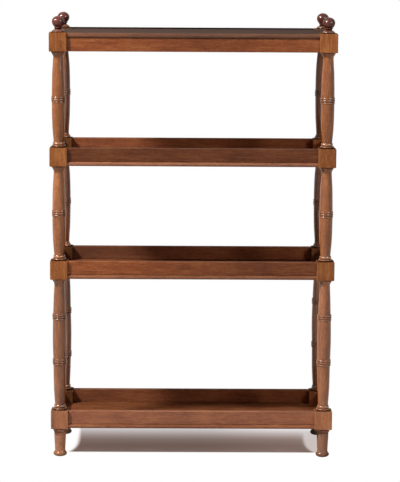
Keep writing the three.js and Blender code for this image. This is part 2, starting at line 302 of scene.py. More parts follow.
RUB_SHARES = (0.1, 0.6)
RUBBED_SHINE = 1.6
GRIME_AND_SHADE_DARKNESS = 0.85
TONE_SPREAD = 0.08
GLOSS_SPREAD = 0.12
PORE_ROUGHNESS = 0.12
DUST_ROUGHNESS = 0.35
DUST_MATTING = 1.8
STREAK_RELIEF = 0.35
PORE_RELIEF = -0.7
RELIEF_STRENGTH = 0.22
RELIEF_DEPTH = 0.15 * MM


def mahogany(name, grain, deep, middle, light, roughness=0.34, coat=0.22, coat_roughness=0.12):
    """French-polished mahogany with its grain along one axis: growth bands, fine streaks, curly wisps
    and open pores. Its rubbed edges and crests are lighter, partly as a painted highlight; its quirks are
    darker with old polish and painted shade; its upper faces are dusty, matt and painted darker as shade;
    and a pale veil over it is partly a painted reflection."""
    material = bpy.data.materials.new(name)
    material.use_nodes = True
    tree = material.node_tree
    shader = tree.nodes["Principled BSDF"]

    def mark(attribute):
        return add_node(tree, "ShaderNodeAttribute", attribute_name=attribute).outputs["Fac"]

    tone = mark("tone")
    place = add_node(tree, "ShaderNodeTexCoord").outputs["Object"]
    place = reckon_vector(tree, "ADD", place, reckon_vector(tree, "SCALE", LOG_STEP, tone))
    sway = add_node(tree, "ShaderNodeTexNoise", {"Vector": place, "Scale": SWAY_SCALE, "Detail": 1.0})
    sway = reckon_vector(tree, "SCALE", sway.outputs["Color"], GRAIN_SWAY)
    place = reckon_vector(tree, "ADD", place, sway)

    def noise(across, along, detail, distortion=0.0):
        stretch = [along if axis == grain else across for axis in "XYZ"]
        return add_node(tree, "ShaderNodeTexNoise", {
            "Vector": reckon_vector(tree, "MULTIPLY", place, stretch),
            "Scale": 1.0, "Detail": detail, "Distortion": distortion}).outputs[0]

    # Each pattern varies about its middle, and so the shade varies about the middle of the ramp.
    figure = {pattern: noise(**sizes) for pattern, sizes in GRAIN.items()}
    shade = 0.5 - 0.5 * sum(GRAIN_WEIGHTS.values())
    for pattern, weight in GRAIN_WEIGHTS.items():
        shade = reckon(tree, "MULTIPLY_ADD", figure[pattern], weight, shade)
    ramp = add_node(tree, "ShaderNodeValToRGB", {"Fac": shade})
    stops = ramp.color_ramp.elements
    stops[0].position, stops[0].color = GRAIN_STOPS[0], deep
    stops[1].position, stops[1].color = GRAIN_STOPS[2], light
    stops.new(GRAIN_STOPS[1]).color = middle

    pores = rising(tree, figure["pores"], *PORE_LIMITS, kind="LINEAR")
    colour = mixed(tree, reckon(tree, "MULTIPLY", pores, PORE_DARKNESS), ramp.outputs["Color"], deep)
    rub_patch = rising(tree, figure["rubbing"], *RUB_LIMITS, *RUB_SHARES, kind="LINEAR")
    wear_and_highlight, grime_and_shade, dust_and_shade = mark("wear_and_highlight"), mark("grime_and_shade"), mark("dust_and_shade")
    # Rubbed places turn pale, partly as a painted highlight.
    colour = mixed(tree, reckon(tree, "MULTIPLY", wear_and_highlight, rub_patch), colour, RUBBED_AND_HIGHLIGHT)
    # Quirks darken with old polish and painted shade, and upper faces with dust and painted shade.
    colour = mixed(tree, reckon(tree, "MULTIPLY", grime_and_shade, GRIME_AND_SHADE_DARKNESS), colour, OLD_POLISH_AND_SHADE)
    colour = mixed(tree, dust_and_shade, colour, OLD_POLISH_AND_SHADE)
    own_tone = reckon(tree, "MULTIPLY_ADD", tone, TONE_SPREAD, 1.0 - TONE_SPREAD / 2)
    colour = reckon_vector(tree, "SCALE", colour, reckon(tree, "MULTIPLY", mark("stain"), own_tone))
    # A pale veil, partly a painted reflection, which darkened places don't get.
    veil = reckon(tree, "MULTIPLY", mark("bloom_and_reflection"), reckon(tree, "SUBTRACT", 1.0, grime_and_shade))
    colour = mixed(tree, veil, colour, BLOOM_AND_REFLECTION)

    gloss = reckon(tree, "MULTIPLY_ADD", figure["mottle"], GLOSS_SPREAD, roughness - GLOSS_SPREAD / 2)
    gloss = reckon(tree, "MULTIPLY_ADD", pores, PORE_ROUGHNESS, gloss)
    gloss = reckon(tree, "MULTIPLY_ADD", dust_and_shade, DUST_ROUGHNESS, gloss)
    matt = reckon(tree, "MAXIMUM", reckon(tree, "MULTIPLY", dust_and_shade, DUST_MATTING), grime_and_shade)
    bright = reckon(tree, "MAXIMUM", reckon(tree, "SUBTRACT", 1.0, matt), 0.0)
    shine = reckon(tree, "MULTIPLY_ADD", wear_and_highlight, RUBBED_SHINE * coat, coat)
    relief = reckon(tree, "MULTIPLY", figure["streaks"], STREAK_RELIEF)
    relief = reckon(tree, "MULTIPLY_ADD", pores, PORE_RELIEF, relief)
    bump = add_node(tree, "ShaderNodeBump", {
        "Strength": RELIEF_STRENGTH, "Distance": RELIEF_DEPTH, "Height": relief})
    feed(tree, shader.inputs["Base Color"], colour)
    feed(tree, shader.inputs["Roughness"], gloss)
    feed(tree, shader.inputs["Normal"], bump.outputs[0])
    feed(tree, shader.inputs["Coat Weight"], reckon(tree, "MULTIPLY", bright, shine))
    shader.inputs["Specular IOR Level"].default_value = 0.0
    shader.inputs["Coat Roughness"].default_value = coat_roughness
    return material


post_wood = mahogany("post_mahogany", "Z", polish(104, 54, 26), polish(150, 88, 46), polish(184, 120, 70))

EVEN_STAIN = (1.0, 1.0)
NO_BLOOM = (0.0, 0.0)
FACING_FRONT = 0.3
tone_count = 0


def stained(mesh, stain):
    """Marks how a piece is stained, where 0 is black and 1 leaves the wood as it is, at places spread
    evenly from the left end of the etagere to its right end."""
    half_width = cad_bounds[1][0]
    places = [half_width * (2 * index / (len(stain) - 1) - 1) for index in range(len(stain))]
    solid = bmesh.new()
    solid.from_mesh(mesh)
    for x in places[1:-1]:
        everything = solid.verts[:] + solid.edges[:] + solid.faces[:]
        bmesh.ops.bisect_plane(solid, geom=everything, plane_co=(x, 0, 0), plane_no=(1, 0, 0))
    solid.to_mesh(mesh)
    solid.free()
    layer = mesh.attributes.new("stain", "FLOAT", "POINT")
    for vertex in mesh.vertices:
        after = next((index for index, x in enumerate(places) if x >= vertex.co.x), len(places) - 1)
        after = max(after, 1)
        share = (vertex.co.x - places[after - 1]) / (places[after] - places[after - 1])
        layer.data[vertex.index].value = stain[after - 1] * (1 - share) + stain[after] * share


def finish_piece(mesh, node, slot, wood, stain, bloom_and_reflection, upper_dust_and_shade=0.0, painted_shade_behind=None):
    """Makes a mesh the finished piece of a CAD node, from a cut of wood of its own. The pale veil, partly a
    painted reflection, is given for upright and for upper faces; upper faces are made dusty and painted
    darker as shade; and faces behind a place are painted dark as shade."""
    global tone_count
    tone_count += 1
    upright_bloom_and_reflection, upper_bloom_and_reflection = bloom_and_reflection
    stained(mesh, stain)
    tone = mesh.attributes.new("tone", "FLOAT", "POINT")
    tone.data.foreach_set("value", [tone_count * GOLDEN_SHARE % 1.0] * len(mesh.vertices))
    haze = mesh.attributes.new("bloom_and_reflection", "FLOAT", "FACE")
    dust_and_shade = mesh.attributes.new("dust_and_shade", "FLOAT", "FACE")
    for face in mesh.polygons:
        upward = max(0.0, face.normal.z) ** 2
        far_back = painted_shade_behind is not None and face.center.y > painted_shade_behind
        behind = far_back and face.normal.y < FACING_FRONT
        shown_bloom_and_reflection = upright_bloom_and_reflection * (1 - upward) + upper_bloom_and_reflection * upward
        haze.data[face.index].value = 0.0 if behind else shown_bloom_and_reflection
        dust_and_shade.data[face.index].value = 1.0 if behind else upper_dust_and_shade * upward
    mesh.materials.clear()
    mesh.materials.append(wood)
    mesh.shade_smooth()
    mesh.set_sharp_from_angle(angle=SHARP_EDGE)
    piece = bpy.data.objects.new(f"polished_{node}", mesh)
    bpy.context.scene.collection.objects.link(piece)
    piece.modifiers.new("flat_faces_stay_flat", "WEIGHTED_NORMAL").keep_sharp = True
    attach(piece, "root")
    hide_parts(node)


def add_box(solid, low, high):
    """Adds a box to a bmesh."""
    size = [high[axis] - low[axis] for axis in range(3)]
    middle = [(high[axis] + low[axis]) / 2 for axis in range(3)]
    place = Matrix.Translation(middle) @ Matrix.Diagonal((*size, 1.0))
    bmesh.ops.create_cube(solid, size=1.0, matrix=place)


def ease(solid, edges, radius):
    """Rounds some edges of a bmesh."""
    bmesh.ops.bevel(
        solid, geom=edges, offset=radius, segments=EASE_STEPS, profile=ROUND_PROFILE, affect="EDGES")


def add_bore(solid, x, y, radius, bottom, top):
    """Adds an upright cylinder to a bmesh."""
    place = Matrix.Translation((x, y, (bottom + top) / 2))
    bmesh.ops.create_cone(
        solid, cap_ends=True, segments=BORE_SIDES, radius1=radius, radius2=radius, depth=top - bottom,
        matrix=place)


def as_object(solid, name):
    """A bmesh as an object of its own, for joining and cutting."""
    mesh = bpy.data.meshes.new(name)
    solid.to_mesh(mesh)
    solid.free()
    made = bpy.data.objects.new(name, mesh)
    bpy.context.scene.collection.objects.link(made)
    return made


def plain_mesh(made, name):
    """The mesh that an object's modifiers give. The object itself is removed."""
    evaluated = made.evaluated_get(bpy.context.evaluated_depsgraph_get())
    mesh = bpy.data.meshes.new_from_object(evaluated)
    mesh.name = name
    bpy.data.objects.remove(made)
    return mesh


def worked(body, tool, operation):
    """The body's mesh after a tool is joined to it (UNION) or cut from it (DIFFERENCE)."""
    change = body.modifiers.new("work", "BOOLEAN")
    change.operation = operation
    change.object = tool
    change.solver = "EXACT"
    mesh = plain_mesh(body, body.name)
    bpy.data.objects.remove(tool)
    return mesh


def rub_edges(mesh, low, high, radius, amount):
    """Marks the rounded edges of a box-shaped piece, where the polish is rubbed lighter."""
    wear_and_highlight = mesh.attributes.new("wear_and_highlight", "FLOAT", "POINT")
    for vertex in mesh.vertices:
        depths = sorted(min(vertex.co[axis] - low[axis], high[axis] - vertex.co[axis]) for axis in range(3))
        rubbed = amount * max(0.0, 1.0 - abs(depths[1] - depths[0]) / radius)
        wear_and_highlight.data[vertex.index].value = rubbed if depths[1] < radius else 0.0


def rail_name(tier, side):
    """The node of the apron or the tray wall on one side of a tier."""
    return f"{tier}_{side}_{'apron' if tier == 'top' else 'wall'}"


def span_from(face, side, depth):
    """The lowest and highest values of a cut that starts clear of a face and goes into the wood."""
    return sorted((face - side * OVERRUN, face + side * depth))


BLOCK_STAINS = {"top": (0.78, 0.9), "upper_tray": (0.82, 0.74), "middle_tray": (0.86, 0.76),
                "lower_tray": (1.15, 1.22)}
# The back blocks' stain is scaled as painted light and shade: much darker on the left, and on the right
# darker under the top, much lighter on the upper tray and about as is below.
BACK_BLOCK_PAINTED_LIGHT_AND_SHADE = {"top": (0.42, 0.42), "upper_tray": (0.34, 2.3), "middle_tray": (0.24, 1.05),
                     "lower_tray": (0.28, 0.9)}
# A pale veil, partly painted: a reflection on the back blocks, and light bounced from the floor on the
# lowest tier.
BACK_BLOCK_BLOOMS_AND_REFLECTIONS = {"back_left": (0.03, 0.0), "back_right": (0.12, 0.0)}
LOW_BLOOM_AND_REFLECTION = (0.18, 0.1)
# Upper faces of the blocks are dusty and painted darker as shade.
BLOCK_DUST_AND_SHADE = 0.65
BLOCK_RUB = 0.35
for tier in TIERS:
    for corner, (side_x, side_y) in CORNERS.items():
        node = f"{tier}_{corner}_block"
        low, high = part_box(node)
        x, y, _ = (low + high) / 2
        solid = bmesh.new()
        add_box(solid, low, high)
        ease(solid, solid.edges[:], BLOCK_EASE)
        block = as_object(solid, node + "_blank")

        front_or_back, left_or_right = corner.split("_")
        rail_low, rail_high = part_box(rail_name(tier, front_or_back))
        side_low, side_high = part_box(rail_name(tier, left_or_right))
        rail_line = (rail_low.y + rail_high.y) / 2
        side_line = (side_low.x + side_high.x) / 2
        tenon_middle = (rail_low.z + rail_high.z) / 2
        half_thickness = TENON_THICKNESS / 2 + JOINT_GAP
        half_height = TENON_HEIGHT / 2 + JOINT_GAP
        inner_x = low.x if side_x > 0 else high.x
        inner_y = low.y if side_y > 0 else high.y
        tenon_length = (rail_high.x if side_x > 0 else -rail_low.x) - abs(inner_x)
        mortise_x = span_from(inner_x, side_x, tenon_length + JOINT_GAP)
        mortise_y = span_from(inner_y, side_y, tenon_length + JOINT_GAP)

        cutters = bmesh.new()
        top_radius = FINIAL_PIN_RADIUS if tier == "top" else PIN_RADIUS
        top_depth = FINIAL_PIN_LENGTH if tier == "top" else PIN_LENGTH
        add_bore(cutters, x, y, top_radius + JOINT_GAP, high.z - top_depth - JOINT_GAP, high.z + OVERRUN)
        add_bore(cutters, x, y, PIN_RADIUS + JOINT_GAP, low.z - OVERRUN, low.z + PIN_LENGTH + JOINT_GAP)
        add_box(cutters,
                (mortise_x[0], rail_line - half_thickness, tenon_middle - half_height),
                (mortise_x[1], rail_line + half_thickness, tenon_middle + half_height))
        add_box(cutters,
                (side_line - half_thickness, mortise_y[0], tenon_middle - half_height),
                (side_line + half_thickness, mortise_y[1], tenon_middle + half_height))
        mesh = worked(block, as_object(cutters, "cutters"), "DIFFERENCE")
        rub_edges(mesh, low, high, BLOCK_EASE, BLOCK_RUB)
        bloom_and_reflection = LOW_BLOOM_AND_REFLECTION if tier == "lower_tray" else NO_BLOOM
        stain = BLOCK_STAINS[tier]
        if side_y > 0:
            stain = [value * shade for value, shade in zip(stain, BACK_BLOCK_PAINTED_LIGHT_AND_SHADE[tier])]
            bloom_and_reflection = BACK_BLOCK_BLOOMS_AND_REFLECTIONS[corner]
        finish_piece(mesh, node, "post_wood", post_wood, stain, bloom_and_reflection, BLOCK_DUST_AND_SHADE)

# The twelve tray walls stand on the tray boards between the blocks, and the four aprons hang under the
# top. They are planed rails of curly mahogany with eased edges and a stub tenon at each end.
WALL_EASE = 2.4 * MM
WALL_FOOT_EASE = 0.9 * MM
# The walls' pale veil is partly a painted reflection, most on the back walls.
WALL_BLOOM_AND_REFLECTION = (0.02, 0.0)
BACK_BLOOM_AND_REFLECTION = (0.08, 0.0)
# Upper faces of the walls are dusty and painted darker as shade.
WALL_DUST_AND_SHADE = 0.3
FRONT_STAINS = {"top": (0.93, 0.84, 0.68, 0.78, 0.92), "upper_tray": (0.42, 0.41, 0.39, 0.4, 0.44),
                "middle_tray": (0.98, 0.92, 0.68, 0.5, 0.54), "lower_tray": (1.04, 1.0, 1.0, 1.02, 1.1)}
BACK_STAINS = {"top": (1.0, 1.0), "upper_tray": (0.8, 0.76, 0.98, 1.08, 1.1),
               "middle_tray": (0.38, 0.46, 0.94, 1.05, 1.05), "lower_tray": (0.59, 0.66, 0.95, 0.93, 0.93)}
wall_woods = {
    axis: mahogany(f"wall_mahogany_along_{axis.lower()}", axis, polish(92, 44, 22), polish(140, 74, 38),
                   polish(172, 106, 60))
    for axis in "XY"
}


def rail_mesh(node, axis, low, high, shoulder):
    """A rail along an axis: its body stops at the shoulders and its tenons run on to the box's ends."""
    body_low, body_high = low.copy(), high.copy()
    body_low[axis], body_high[axis] = -shoulder, shoulder
    cross = 1 - axis
    solid = bmesh.new()
    add_box(solid, body_low, body_high)
    upper = []
    lower = []
    for edge in solid.edges:
        first, second = (vertex.co for vertex in edge.verts)
        if abs((first - second)[axis]) < shoulder:
            continue
        (upper if first.z > (low.z + high.z) / 2 else lower).append(edge)
    ease(solid, upper, WALL_EASE)
    ease(solid, [edge for edge in lower if edge.is_valid], WALL_FOOT_EASE)
    rail = as_object(solid, node + "_blank")

    tenon_low, tenon_high = low.copy(), high.copy()
    middle = (low + high) / 2
    tenon_low[cross] = middle[cross] - TENON_THICKNESS / 2
    tenon_high[cross] = middle[cross] + TENON_THICKNESS / 2
    tenon_low.z = middle.z - TENON_HEIGHT / 2
    tenon_high.z = middle.z + TENON_HEIGHT / 2
    tenons = bmesh.new()
    add_box(tenons, tenon_low, tenon_high)
    mesh = worked(rail, as_object(tenons, "tenons"), "UNION")

    wear_and_highlight = mesh.attributes.new("wear_and_highlight", "FLOAT", "POINT")
    grime_and_shade = mesh.attributes.new("grime_and_shade", "FLOAT", "POINT")
    for vertex in mesh.vertices:
        across, up = vertex.co[cross], vertex.co.z
        depths = sorted((high.z - up, high[cross] - across, across - low[cross]))
        if depths[1] < WALL_EASE:
            wear_and_highlight.data[vertex.index].value = max(0.0, 1.0 - (depths[1] - depths[0]) / WALL_EASE)
        # The rail's foot is painted dark, as the shade where it meets the board.
        if up - low.z < WALL_FOOT_EASE / 2:
            grime_and_shade.data[vertex.index].value = 1.0
    return mesh


for tier in TIERS:
    block_low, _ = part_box(f"{tier}_back_right_block")
    for side in ("front", "back", "left", "right"):
        axis = 0 if side in ("front", "back") else 1
        node = rail_name(tier, side)
        low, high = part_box(node)
        mesh = rail_mesh(node, axis, low, high, block_low[axis] - JOINT_GAP)
        stain = {"front": FRONT_STAINS[tier], "back": BACK_STAINS[tier]}.get(side, EVEN_STAIN)
        bloom_and_reflection = BACK_BLOOM_AND_REFLECTION if side == "back" else WALL_BLOOM_AND_REFLECTION
        if tier == "lower_tray" and side == "front":
            bloom_and_reflection = LOW_BLOOM_AND_REFLECTION
        finish_piece(mesh, node, "wall_wood", wall_woods["XY"[axis]], stain, bloom_and_reflection, WALL_DUST_AND_SHADE)

# The three tray boards and the top board: planed boards with a half-round nosing all round, notched at
# the corners to clear the blocks. The top board's field is sunk inside a raised lip.
NOSING_PROJECTION = 5.5 * MM
NOSING_STEPS = 12
NOSING_WEAR_AND_HIGHLIGHT = 0.5
LIP_WIDTH = 14.0 * MM
LIP_EASE = 1.6 * MM
LIP_STEPS = 5
LIP_QUIRK = 0.6 * MM
LIP_DARK_MARGIN = 2.4 * MM
BACK_LIP_MARGIN = 1.0 * MM
FIELD_DROP = 4.0 * MM
STRIP_STAINS = {"top": (0.7, 0.62, 0.37, 0.48, 0.56), "upper_tray": (1.18, 1.13, 1.08, 1.02, 1.12),
                "middle_tray": (1.06, 0.86, 0.75, 0.7, 0.8), "lower_tray": (1.08, 0.9, 0.92, 1.06, 1.2)}
# The top's field is veiled grey, partly as a painted reflection.
TOP_BLOOM_AND_REFLECTION = (0.1, 0.2)
# Upper faces are dusty and painted darker as shade, the top's field nearly black and the tray boards less.
TOP_DUST_AND_SHADE = 0.97
STRIP_DUST_AND_SHADE = 0.42
# The tray boards are veiled paler, partly as painted light bounced from the floor.
STRIP_BLOOMS_AND_REFLECTIONS = {"upper_tray": (0.16, 0.0), "middle_tray": (0.07, 0.0), "lower_tray": (0.07, 0.0)}
board_wood = mahogany("board_mahogany", "X", polish(90, 46, 26), polish(140, 82, 50), polish(170, 110, 74),
                      coat=0.26)


def crest(turn):
    """How much a half-round is rubbed lighter, partly as a painted highlight, from nothing at its sides to
    1 at its crest.
    """
    return math.sin(turn) ** 3


def nosing(thickness):
    """A half-round nosing from the board's underside to its top, as points of an outline of (setback,
    height, lightening, darkening). Its crest is rubbed lighter, partly as a painted highlight."""
    outline = []
    for step in range(NOSING_STEPS + 1):
        turn = math.pi * step / NOSING_STEPS
        setback = NOSING_PROJECTION * (1.0 - math.sin(turn))
        height = thickness / 2 * (1.0 - math.cos(turn))
        outline.append((setback, height, NOSING_WEAR_AND_HIGHLIGHT * crest(turn), 0.0))
    return outline


def sunk_lip(thickness):
    """The top board's raised lip from its crown to the sunk field, with an eased edge and a small chamfer
    into the field. The lip is darkened with old polish and painted shade, and so is a margin of the field.
    """
    outline = []
    for step in range(LIP_STEPS + 1):
        turn = QUARTER_TURN * step / LIP_STEPS
        setback = LIP_WIDTH - LIP_EASE * (1.0 - math.sin(turn))
        height = thickness - LIP_EASE * (1.0 - math.cos(turn))
        outline.append((setback, height, 0.0, 1.0))
    foot = thickness - FIELD_DROP
    outline.append((LIP_WIDTH, foot + LIP_QUIRK, 0.0, 1.0))
    outline.append((LIP_WIDTH + LIP_QUIRK, foot, 0.0, 1.0))
    outline.append((LIP_WIDTH + LIP_DARK_MARGIN, foot, 0.0, 0.0))
    return outline


def notch_span(side, first, second):
    """The lowest and highest values of a notch that clears a block and runs out past the board."""
    inner, outer = sorted((abs(first), abs(second)))
    return sorted((side * (inner - JOINT_GAP), side * (outer + OVERRUN)))


def board_mesh(node, outline):
    """A rectangular board whose edge follows an outline all round, closed below and above."""
    low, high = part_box(node)
    solid = bmesh.new()
    wear_and_highlight_layer = solid.verts.layers.float.new("wear_and_highlight")
    grime_and_shade_layer = solid.verts.layers.float.new("grime_and_shade")
    rings = []
    for setback, height, wear_and_highlight, grime_and_shade in outline:
        ring = []
        for side_x, side_y in SQUARE:
            place = (side_x * (high.x - setback), side_y * (high.y - setback), low.z + height)
            vertex = solid.verts.new(place)
            vertex[wear_and_highlight_layer] = wear_and_highlight
            vertex[grime_and_shade_layer] = grime_and_shade
            ring.append(vertex)
        rings.append(ring)
    for below, above in zip(rings, rings[1:]):
        for index in range(len(SQUARE)):
            after = (index + 1) % len(SQUARE)
            solid.faces.new((below[index], below[after], above[after], above[index]))
    solid.faces.new(rings[0][::-1])
    solid.faces.new(rings[-1])
    board = as_object(solid, node + "_blank")

    tier = node.replace("_board", "")
    notches = bmesh.new()
    for corner, (side_x, side_y) in CORNERS.items():
        block_low, block_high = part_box(f"{tier}_{corner}_block")
        span_x = notch_span(side_x, block_low.x, block_high.x)
        span_y = notch_span(side_y, block_low.y, block_high.y)
        add_box(notches, (span_x[0], span_y[0], low.z - OVERRUN), (span_x[1], span_y[1], high.z + OVERRUN))
    return worked(board, as_object(notches, "notches"), "DIFFERENCE")


for tier in TIERS:
    node = f"{tier}_board"
    low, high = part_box(node)
    thickness = high.z - low.z
    outline = nosing(thickness)
    # Along the back the lip's faces are painted near black, as shade and old polish.
    if tier == "top":
        outline += sunk_lip(thickness)
        finish = {"bloom_and_reflection": TOP_BLOOM_AND_REFLECTION, "upper_dust_and_shade": TOP_DUST_AND_SHADE, "painted_shade_behind": high.y - LIP_WIDTH - BACK_LIP_MARGIN}
    else:
        finish = {"bloom_and_reflection": STRIP_BLOOMS_AND_REFLECTIONS[tier], "upper_dust_and_shade": STRIP_DUST_AND_SHADE}
    finish_piece(board_mesh(node, outline), node, "board_wood", board_wood, STRIP_STAINS[tier], **finish)

# The twelve turned spindles carry one tier on the next. Each is turned in one length with the pins that
# sit in the blocks: a torus and a bead at its foot, a shaft that swells to a ring of three beads (two
# rings on the long ones, with a swell between), and a flare under the next block.
TURNED_SIDES = 48
MERGE_DISTANCE = 0.001 * MM
LEAST_STEP = 0.01
BEAD_STEPS = 10
BEAD_WEAR_AND_HIGHLIGHT = 0.4
BEAD_GRIME_AND_SHADE = 0.6
FLOWING_STEPS = 6
SEAT = JOINT_GAP / MM
PIN_CHAMFER = 1.0


def bead(bottom, top, root, crown, wear_and_highlight=BEAD_WEAR_AND_HIGHLIGHT, grime_and_shade=0.0):
    """A half-round bead in an outline of (radius, height, lightening, darkening), all lengths in
    millimetres. Its crown is rubbed lighter, partly as a painted highlight, and the quirks beside it are
    darkened with old polish and painted shade."""
    points = []
    for step in range(BEAD_STEPS + 1):
        turn = math.pi * step / BEAD_STEPS
        radius = root + (crown - root) * math.sin(turn)
        height = (bottom + top) / 2 - (top - bottom) / 2 * math.cos(turn)
        points.append((radius, height, wear_and_highlight * crest(turn), max(grime_and_shade, BEAD_GRIME_AND_SHADE * math.cos(turn) ** 6)))
    return points


def flowing(points, wear_and_highlight=0.0, grime_and_shade=0.0):
    """A smooth outline (a Catmull-Rom curve) through points of (height, radius), in millimetres."""
    ends = [points[0], *points, points[-1]]
    smooth = []
    for before, start, end, after in zip(ends, ends[1:], ends[2:], ends[3:]):
        for step in range(FLOWING_STEPS):
            share = step / FLOWING_STEPS
            height, radius = (
                0.5 * (2 * b + (c - a) * share + (2 * a - 5 * b + 4 * c - d) * share ** 2
                       + (3 * b - a - 3 * c + d) * share ** 3)
                for a, b, c, d in zip(before, start, end, after))
            smooth.append((radius, height, wear_and_highlight, grime_and_shade))
    last_height, last_radius = points[-1]
    smooth.append((last_radius, last_height, wear_and_highlight, grime_and_shade))
    return smooth


def cornered(points, grime_and_shade=0.0):
    """An outline with corners at points of (height, radius), in millimetres."""
    return [(radius, height, 0.0, grime_and_shade) for height, radius in points]


def turning_tree():
    """Geometry Nodes that spin an outline about an upright axis, as a lathe does."""
    tree = bpy.data.node_groups.new("turning", "GeometryNodeTree")
    sockets = {}
    for name, kind in (("Outline", "Geometry"), ("Sides", "Int"), ("Axis Place", "Vector"),
                       ("Wood", "Material")):
        sockets[name] = tree.interface.new_socket(name, in_out="INPUT", socket_type="NodeSocket" + kind)
    tree.interface.new_socket("Turning", in_out="OUTPUT", socket_type="NodeSocketGeometry")
    given = add_node(tree, "NodeGroupInput").outputs

    points = add_node(tree, "GeometryNodeAttributeDomainSize", {0: given["Outline"]}, component="MESH")
    count = points.outputs["Point Count"]
    columns = reckon(tree, "ADD", given["Sides"], 1.0)
    grid = add_node(tree, "GeometryNodeMeshGrid", {
        "Size X": 1.0, "Size Y": 1.0, "Vertices X": columns, "Vertices Y": count})
    index = add_node(tree, "GeometryNodeInputIndex").outputs[0]
    column = add_node(tree, "FunctionNodeIntegerMath", {0: index, 1: count}, operation="DIVIDE").outputs[0]
    row = add_node(tree, "FunctionNodeIntegerMath", {0: index, 1: count}, operation="MODULO").outputs[0]

    def sampled(value, kind):
        return add_node(tree, "GeometryNodeSampleIndex", {
            "Geometry": given["Outline"], "Value": value, "Index": row},
            data_type=kind, domain="POINT").outputs[0]

    position = add_node(tree, "GeometryNodeInputPosition").outputs[0]
    parts = add_node(tree, "ShaderNodeSeparateXYZ", {0: sampled(position, "FLOAT_VECTOR")}).outputs
    step_angle = reckon(tree, "DIVIDE", 2 * math.pi, given["Sides"])
    angle = reckon(tree, "MULTIPLY", column, step_angle)
    around = add_node(tree, "ShaderNodeCombineXYZ", {
        "X": reckon(tree, "MULTIPLY", parts["X"], reckon(tree, "COSINE", angle)),
        "Y": reckon(tree, "MULTIPLY", parts["X"], reckon(tree, "SINE", angle)),
        "Z": parts["Z"]})
    placed = reckon_vector(tree, "ADD", around.outputs[0], given["Axis Place"])
    spun = add_node(tree, "GeometryNodeSetPosition", {
        "Geometry": grid.outputs["Mesh"], "Position": placed}).outputs[0]

    for attribute in ("wear_and_highlight", "grime_and_shade"):
        value = add_node(tree, "GeometryNodeInputNamedAttribute", {"Name": attribute}, data_type="FLOAT")
        spun = add_node(tree, "GeometryNodeStoreNamedAttribute", {
            "Geometry": spun, "Name": attribute, "Value": sampled(value.outputs[0], "FLOAT")},
            data_type="FLOAT", domain="POINT").outputs[0]

    closed = add_node(tree, "GeometryNodeMergeByDistance", {"Geometry": spun, "Distance": MERGE_DISTANCE})
    smooth = add_node(tree, "GeometryNodeSetShadeSmooth", {0: closed.outputs[0]})
    real = add_node(tree, "GeometryNodeRealizeInstances", {0: smooth.outputs[0]})
    wooden = add_node(tree, "GeometryNodeSetMaterial", {
        "Geometry": real.outputs[0], "Material": given["Wood"]})
    add_node(tree, "NodeGroupOutput", {"Turning": wooden.outputs[0]})
    return tree, {name: socket.identifier for name, socket in sockets.items()}


lathe, lathe_inputs = turning_tree()


def turned_mesh(name, outline, place, wood):
    """The plain mesh of a turning from its outline, standing at a place."""
    kept = [outline[0]]
    for point in outline[1:]:
        if math.dist(point[:2], kept[-1][:2]) > LEAST_STEP:
            kept.append(point)
    mesh = bpy.data.meshes.new(name)
    points = [(radius * MM, 0.0, height * MM) for radius, height, _, _ in kept]
    mesh.from_pydata(points, [(index, index + 1) for index in range(len(points) - 1)], [])
    for column, attribute in ((2, "wear_and_highlight"), (3, "grime_and_shade")):
        layer = mesh.attributes.new(attribute, "FLOAT", "POINT")
        layer.data.foreach_set("value", [point[column] for point in kept])
    blank = bpy.data.objects.new(name, mesh)
    bpy.context.scene.collection.objects.link(blank)
    turning = blank.modifiers.new("turning", "NODES")
    turning.node_group = lathe
    turning[lathe_inputs["Sides"]] = TURNED_SIDES
    turning[lathe_inputs["Axis Place"]] = tuple(place)
    turning[lathe_inputs["Wood"]] = wood
    return plain_mesh(blank, name)


def turn_piece(node, outline, block, height, wood, stain, bloom_and_reflection):
    """Turns a CAD node's outline, in line with a block and standing at a height, and finishes it."""
    low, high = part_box(block)
    place = ((low.x + high.x) / 2, (low.y + high.y) / 2, height)
    mesh = turned_mesh(node + "_turned", outline, place, wood)
    finish_piece(mesh, node, "post_wood", wood, stain, bloom_and_reflection)


def foot_pin(length, radius):
    """A pin below a turning, from its end up to the turning's seat."""
    return cornered([(-length, 0.0), (-length, radius - PIN_CHAMFER), (PIN_CHAMFER - length, radius),
                     (SEAT, radius)])


def head_pin(height):
    """A pin above a turning whose next block starts at a height, from the turning's seat up."""
    radius = PIN_RADIUS / MM
    top = height + PIN_LENGTH / MM
    return cornered([(height - SEAT, radius), (top - PIN_CHAMFER, radius), (top, radius - PIN_CHAMFER),
                     (top, 0.0)])


# A bead is given by its bottom, top, root radius and crown radius. Those of a ring have a darkening
# as well, of old polish and painted shade.
RING_BEADS = ((-10.0, -4.8, 21.0, 22.5, 0.2), (-3.8, 3.2, 21.4, 22.9, 0.3), (3.8, 10.0, 21.4, 22.7, 0.2))


def ring_of_beads(middle):
    """The raised ring of three beads round a shaft, about a height in millimetres."""
    outline = []
    for bottom, top, root, crown, grime_and_shade in RING_BEADS:
        outline += bead(middle + bottom, middle + top, root, crown, grime_and_shade=grime_and_shade)
    return outline


FOOT_GROOVE = [(SEAT, 19.6), (1.8, 19.6)]
TORUS = [(2.0, 20.6), (3.2, 21.9), (5.0, 22.2), (6.4, 21.0), (7.2, 18.6)]
TORUS_WEAR_AND_HIGHLIGHT = 0.2
TORUS_GRIME_AND_SHADE = 0.25
FOOT_BEAD = (7.3, 16.6, 16.2, 19.0)
FLARE = [(17.0, 16.3), (13.0, 17.1), (9.0, 19.3), (6.0, 21.2), (3.0, 22.0), (1.6, 22.0)]
HEAD_GROOVE = 1.6
HEAD_GROOVE_RADIUS = 19.4


